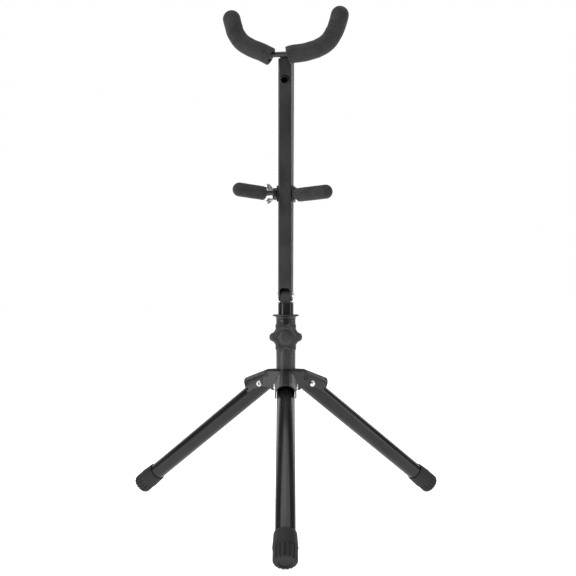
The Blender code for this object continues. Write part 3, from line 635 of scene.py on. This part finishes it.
def legs():
    """Three tubes with drilled heads, their rubber feet and their rolled rivets."""
    for side, azimuth in LEG_AZIMUTHS.items():
        rivet = leg_matrix(azimuth)
        matrix = rivet @ Matrix.Rotation(LEG_SLOPE, 4, "Y")
        body = f"leg_{side}_body"
        spine = straight(matrix, (1, 0, 0))
        tube = rounded([(LEG_LENGTH / 2, LEG_RADIUS), (LEG_LENGTH, LEG_RADIUS), (LEG_LENGTH, LEG_BORE),
                        (-LEG_HEAD, LEG_BORE), (-LEG_HEAD, LEG_RADIUS), (LEG_LENGTH / 2 - MM, LEG_RADIUS)],
                       0.5 * MM)
        bm = revolve(spine, tube, 72, ring=True)
        hole = revolve(straight(matrix, (0, 1, 0)), [(-0.02, 0.0), (-0.02, 2.9 * MM), (0.02, 2.9 * MM),
                                                     (0.02, 0.0)], 32)
        piece(f"leg_tube_{side}", combine(bm, hole, "DIFFERENCE"), "gloss_coat", body, f"leg_{side}")
        mouth = straight(matrix @ Matrix.Translation((FOOT_START, 0, 0)), (1, 0, 0))
        foot = revolve(mouth, foot_profile(), 180, shape=foot_ribs)
        for vert in foot.verts:
            vert.co.z = max(vert.co.z, 0.0)
        piece(f"rubber_foot_{side}", foot, "rubber", body, f"foot_{side}", sharp=45.0)
        face = HUB_FLANGE
        profile = [(-face - 1.9 * MM, 0.0), (-face - 1.85 * MM, 0.8 * MM), (-face - 1.55 * MM, 2.0 * MM),
                   (-face - 0.9 * MM, 3.05 * MM), (-face - 0.3 * MM, 3.5 * MM), (-face, 3.5 * MM),
                   (-face, 2.5 * MM), (face, 2.5 * MM), (face, 3.1 * MM), (face + 0.5 * MM, 3.3 * MM),
                   (face + 1.0 * MM, 3.1 * MM), (face + 1.35 * MM, 2.6 * MM), (face + 1.3 * MM, 2.1 * MM),
                   (face + 0.9 * MM, 1.7 * MM), (face + 0.4 * MM, 1.5 * MM), (face - 5 * MM, 1.5 * MM),
                   (face - 5 * MM, 0.0)]
        piece(f"rolled_rivet_{side}", revolve(straight(rivet, (0, 1, 0)), profile, 44), "zinc", "tripod",
              f"leg_rivet_{side}")


# ---------------------------------------------------------------- column

def tube_profile(bottom, top, outside, inside):
    """Closed profile of a tube with broken edges, which starts halfway up its outside."""
    middle = (bottom + top) / 2
    return rounded([(middle, outside), (top, outside), (top, inside), (bottom, inside), (bottom, outside),
                    (middle - MM, outside)], 0.3 * MM)


def column():
    """Outer tube with the stud's hole, the collar in its mouth and the tube that slides in it."""
    axis = straight(STAND, (0, 0, 1))
    tube = tube_profile(TUBE_BOTTOM, TUBE_TOP, TUBE_RADIUS, TUBE_BORE)
    hole = revolve(straight(STAND @ Matrix.Translation((0, 0, KNOB_Z)), (0, -1, 0)),
                   [(0, 0.0), (0, STUD_HOLE), (0.02, STUD_HOLE), (0.02, 0.0)], 32)
    piece("column_tube", combine(revolve(axis, tube, 72, ring=True), hole, "DIFFERENCE"), "powder_coat",
          "tripod", "centre_tube")
    collar = [(COLLAR_BOTTOM, 9.9 * MM), (222.3 * MM, 9.9 * MM), (222.3 * MM, 11.3 * MM),
              (225.0 * MM, 11.7 * MM), (225.5 * MM, 14.2 * MM), (226.0 * MM, COLLAR_RADIUS),
              (COLLAR_TOP - 0.4 * MM, COLLAR_RADIUS), (COLLAR_TOP, 14.5 * MM), (COLLAR_TOP, 9.5 * MM),
              (COLLAR_TOP - 0.5 * MM, COLLAR_BORE), (COLLAR_BOTTOM, COLLAR_BORE)]
    piece("collar_ring", revolve(axis, rounded(collar, 0.35 * MM, 3), 72, ring=True), "plastic", "tripod",
          "collar_bushing")
    upper = straight(UPPER, (0, 0, 1))
    slider = tube_profile(SLIDER_BOTTOM, SLIDER_TOP, SLIDER_RADIUS, SLIDER_BORE)
    piece("sliding_tube", revolve(upper, slider, 72, ring=True), "gloss_coat", "inner_tube_body",
          "inner_tube")


def knob_radius(angle):
    """Six rounded lobes with wide hollows between them."""
    lobe = 0.5 + 0.5 * math.tanh(1.6 * math.cos(6 * angle)) / math.tanh(1.6)
    return KNOB_WAIST + (KNOB_WIDE - KNOB_WAIST) * lobe


def knob():
    """Six-lobed clamp knob with a crowned front, a shallow ring and a raised hub."""
    matrix = STAND @ Matrix.Translation((0, 0, KNOB_Z))
    spine = straight(matrix, (0, -1, 0))
    _, side, _ = spine(0.0)
    start = math.atan2(side.z, side.x)

    def shape(distance, angle, radius):
        edge = radius / KNOB_WIDE
        return radius if edge < 0.62 else knob_radius(angle + start) * edge

    back, front, wide = KNOB_BACK, KNOB_BACK + KNOB_DEPTH, KNOB_WIDE
    bore = STUD_RADIUS + 0.3 * MM
    profile = [(front - 5.0 * MM, 0.0), (front - 5.0 * MM, bore), (back + 0.4 * MM, bore),
               (back, bore + 0.4 * MM), (back, 8.0 * MM), (back + 1.4 * MM, 8.6 * MM),
               (back + 1.4 * MM, 10.6 * MM), (back + 0.6 * MM, 0.80 * wide), (back + 1.2 * MM, 0.90 * wide),
               (back + 2.4 * MM, 0.975 * wide), (back + 4.0 * MM, wide)]
    profile += [(back + (4.0 + 1.0 * index) * MM, wide) for index in range(1, 7)]
    for index in range(1, 11):
        turn = math.pi / 2 * index / 10
        profile.append((back + 10.0 * MM + 5.4 * MM * math.sin(turn),
                        wide * (1 - 0.17 * (1 - math.cos(turn)))))
    profile += [(front - 0.55 * MM, 0.76 * wide), (front - 0.5 * MM, 0.70 * wide),
                (front - 0.6 * MM, 0.64 * wide), (front - 0.9 * MM, 0.60 * wide),
                (front - 1.0 * MM, 0.55 * wide), (front - 0.95 * MM, 7.2 * MM),
                (front - 0.6 * MM, 6.7 * MM), (front - 0.2 * MM, 6.1 * MM), (front, 5.0 * MM), (front, 0.0)]
    bm = revolve(spine, profile, 192, shape=shape)
    piece("star_knob", bm, "plastic", "clamp_knob_body", "clamp_knob", sharp=50.0)


# ---------------------------------------------------------------- fasteners

def fasteners():
    """The mast's pin, the tubular rivet near its top, the cross bolt with its thread, and the washer."""
    fold = UPPER @ Matrix.Translation((0, 0, FOLD_Z))
    face = MAST_HALF + 0.3 * MM
    head = [(face, 2.5 * MM), (face, 3.75 * MM), (face + 0.35 * MM, 3.75 * MM), (face + 0.9 * MM, 3.4 * MM),
            (face + 1.4 * MM, 2.6 * MM), (face + 1.7 * MM, 1.5 * MM), (face + 1.8 * MM, 0.0)]
    profile = [(-x, r) for x, r in head[::-1]] + head
    piece("fold_rivet", revolve(straight(fold, (1, 0, 0)), profile, 44), "zinc", "mast_body", "fold_pin")

    rivet = UPPER @ Matrix.Translation((0, 0, YOKE_RIVET_Z))
    profile = [(face, 4.1 * MM), (face, 5.8 * MM), (face + 0.35 * MM, 5.85 * MM), (face + 0.8 * MM, 5.4 * MM),
               (face + 1.15 * MM, 4.6 * MM), (face + 1.0 * MM, 3.8 * MM), (face + 0.5 * MM, 3.4 * MM),
               (2.0 * MM, 3.4 * MM), (2.0 * MM, 5.2 * MM), (2.8 * MM, 5.3 * MM), (2.8 * MM, 4.1 * MM)]
    piece("tube_rivet", revolve(straight(rivet, (0, -1, 0)), profile, 48, ring=True), "gloss_coat",
          "mast_body", "yoke_rivet")

    bolt = straight(BOLT, (1, 0, 0))
    profile = [(16.9 * MM, 0.0), (16.8 * MM, 1.4 * MM), (16.35 * MM, 3.0 * MM), (15.4 * MM, 4.5 * MM),
               (14.3 * MM, 5.4 * MM), (13.7 * MM, 5.6 * MM), (13.2 * MM, 5.6 * MM), (13.2 * MM, 3.0 * MM),
               (-12.0 * MM, 3.0 * MM)]
    pitch = 1.0 * MM
    for index in range(28):
        profile.append((-12.0 * MM - pitch * index / 2, (3.0 if index % 2 else 2.68) * MM))
    profile += [(-25.6 * MM, 2.6 * MM), (-26.0 * MM, 2.2 * MM), (-26.0 * MM, 0.0)]
    piece("cross_bolt", revolve(bolt, profile, 44), "zinc", "mast_body", "arm_bolt")

    ring = [(-13.2 * MM, 6.2 * MM), (-13.2 * MM, 6.9 * MM), (-14.4 * MM, 7.0 * MM), (-14.4 * MM, 3.4 * MM),
            (-13.2 * MM, 3.4 * MM), (-13.2 * MM, 6.1 * MM)]
    piece("plain_washer", revolve(bolt, rounded(ring, 0.25 * MM, 3), 56, ring=True), "powder_coat",
          "washer_body", "arm_washer")


def wing_nut():
    """Cast boss with two wings that lean outward, thick at the root and rounded at the tip."""
    bolt = straight(BOLT, (1, 0, 0))
    boss = [(-14.7 * MM, 4.6 * MM), (-14.7 * MM, 5.4 * MM), (-17.2 * MM, 5.3 * MM), (-21.6 * MM, 4.4 * MM),
            (-22.0 * MM, 4.0 * MM), (-22.0 * MM, 3.3 * MM), (-14.7 * MM, 3.3 * MM), (-14.7 * MM, 4.5 * MM)]
    bm = revolve(bolt, rounded(boss, 0.4 * MM, 3), 56, ring=True)
    layers = ((0.0, -1.15), (0.88, -1.15), (0.97, -0.8), (1.0, -0.3), (1.0, 0.3), (0.97, 0.8), (0.88, 1.15),
              (0.0, 1.15))
    outline = [(-15.6, 3.5), (-15.3, 6.2), (-16.6, 8.8), (-18.6, 10.9), (-20.9, 11.9), (-23.3, 11.7),
               (-24.8, 10.2), (-24.7, 8.6), (-23.2, 7.1), (-21.6, 5.7), (-20.8, 3.5)]
    dense = catmull([(x * MM, 0.0, z * MM) for x, z in outline], 5)
    middle = sum(dense, Vector()) / len(dense)
    for sign in (1, -1):
        wing = bmesh.new()
        rows = []
        for share, thick in layers:
            spots = [middle.lerp(point, share) for point in dense] if share else [middle]
            rows.append([wing.verts.new(BOLT @ Vector((spot.x, thick * MM, sign * spot.z)))
                         for spot in spots])
        bridge(wing, rows, len(dense))
        bm = combine(bm, wing, "UNION")
    piece("winged_nut", bm, "zinc", "wing_nut_body", "wing_nut", sharp=45.0)


# ---------------------------------------------------------------- kept CAD nodes

def dress_cad():
    """Give each CAD node that is still shown the finish of its material slot."""
    slots = {row["node"]: row["material_slot"] for row in frame["record"]["subparts"]}
    for name, obj in NODES.items():
        if obj.hide_render:
            continue
        obj.data.materials.clear()
        obj.data.materials.append(FINISH[slots[name]])


# ---------------------------------------------------------------- studio

def area_light(name, place, target, width, height, watts):
    """A softbox at a place, aimed at a target."""
    data = bpy.data.lights.new(name, "AREA")
    data.shape = "RECTANGLE"
    data.size, data.size_y = width, height
    data.energy = watts
    obj = bpy.data.objects.new(name, data)
    bpy.context.scene.collection.objects.link(obj)
    obj.location = place
    obj.rotation_euler = (Vector(target) - Vector(place)).to_track_quat("-Z", "Y").to_euler()


def studio():
    """Floor, softboxes, a white backdrop that reflections see darker, and the photograph's camera."""
    bm = bmesh.new()
    bmesh.ops.create_circle(bm, cap_ends=True, segments=96, radius=9.0)
    mesh = bpy.data.meshes.new("studio_floor")
    bm.to_mesh(mesh)
    bm.free()
    floor = bpy.data.objects.new("studio_floor", mesh)
    bpy.context.scene.collection.objects.link(floor)
    floor.location.z = -0.0002
    mesh.materials.append(floor_paint())

    aim = (0.0, 0.05, 0.28)
    area_light("key_left", (-1.35, -1.0, 0.75), aim, 0.3, 1.5, 15.0)
    area_light("side_right", (1.6, -0.25, 0.6), aim, 0.5, 1.5, 6.0)
    area_light("overhead_left", (-0.75, -0.1, 2.1), aim, 0.9, 1.8, 15.0)
    area_light("overhead_right", (0.75, -0.1, 2.1), aim, 0.9, 1.8, 11.0)
    area_light("back_left", (-1.2, 1.5, 0.9), aim, 0.7, 1.4, 6.0)
    area_light("back_right", (1.2, 1.5, 0.9), aim, 0.7, 1.4, 6.0)

    world = bpy.data.worlds.new("studio_world")
    bpy.context.scene.world = world
    world.use_nodes = True
    tree = world.node_tree
    sky = tree.nodes["Background"]
    sky.inputs["Color"].default_value = (1.0, 1.0, 1.0, 1.0)
    backdrop = tree.nodes.new("ShaderNodeBackground")
    backdrop.inputs["Color"].default_value = (1.0, 1.0, 1.0, 1.0)
    seen = tree.nodes.new("ShaderNodeLightPath")
    dim = tree.nodes.new("ShaderNodeMath")
    dim.operation = "MULTIPLY_ADD"
    tree.links.new(seen.outputs["Is Glossy Ray"], dim.inputs[0])
    dim.inputs[1].default_value = SKY_IN_REFLECTIONS - SKY
    dim.inputs[2].default_value = SKY
    tree.links.new(dim.outputs["Value"], sky.inputs["Strength"])
    choose = tree.nodes.new("ShaderNodeMixShader")
    tree.links.new(seen.outputs["Is Camera Ray"], choose.inputs["Fac"])
    tree.links.new(sky.outputs["Background"], choose.inputs[1])
    tree.links.new(backdrop.outputs["Background"], choose.inputs[2])
    tree.links.new(choose.outputs["Shader"], tree.nodes["World Output"].inputs["Surface"])
    bpy.context.scene.view_settings.view_transform = "Standard"

    data = bpy.data.cameras.new("photo_camera")
    data.sensor_width = 36.0
    data.lens = 54.4
    camera = bpy.data.objects.new("photo_camera", data)
    bpy.context.scene.collection.objects.link(camera)
    camera.location = (0.0025, COLUMN_Y - 1.003, 0.258)
    camera.rotation_euler = (math.pi / 2, 0.0, 0.0)
    bpy.context.scene.camera = camera


studio()
yoke()
arm_sleeves()
legs()
column()
knob()
fasteners()
wing_nut()
dress_cad()
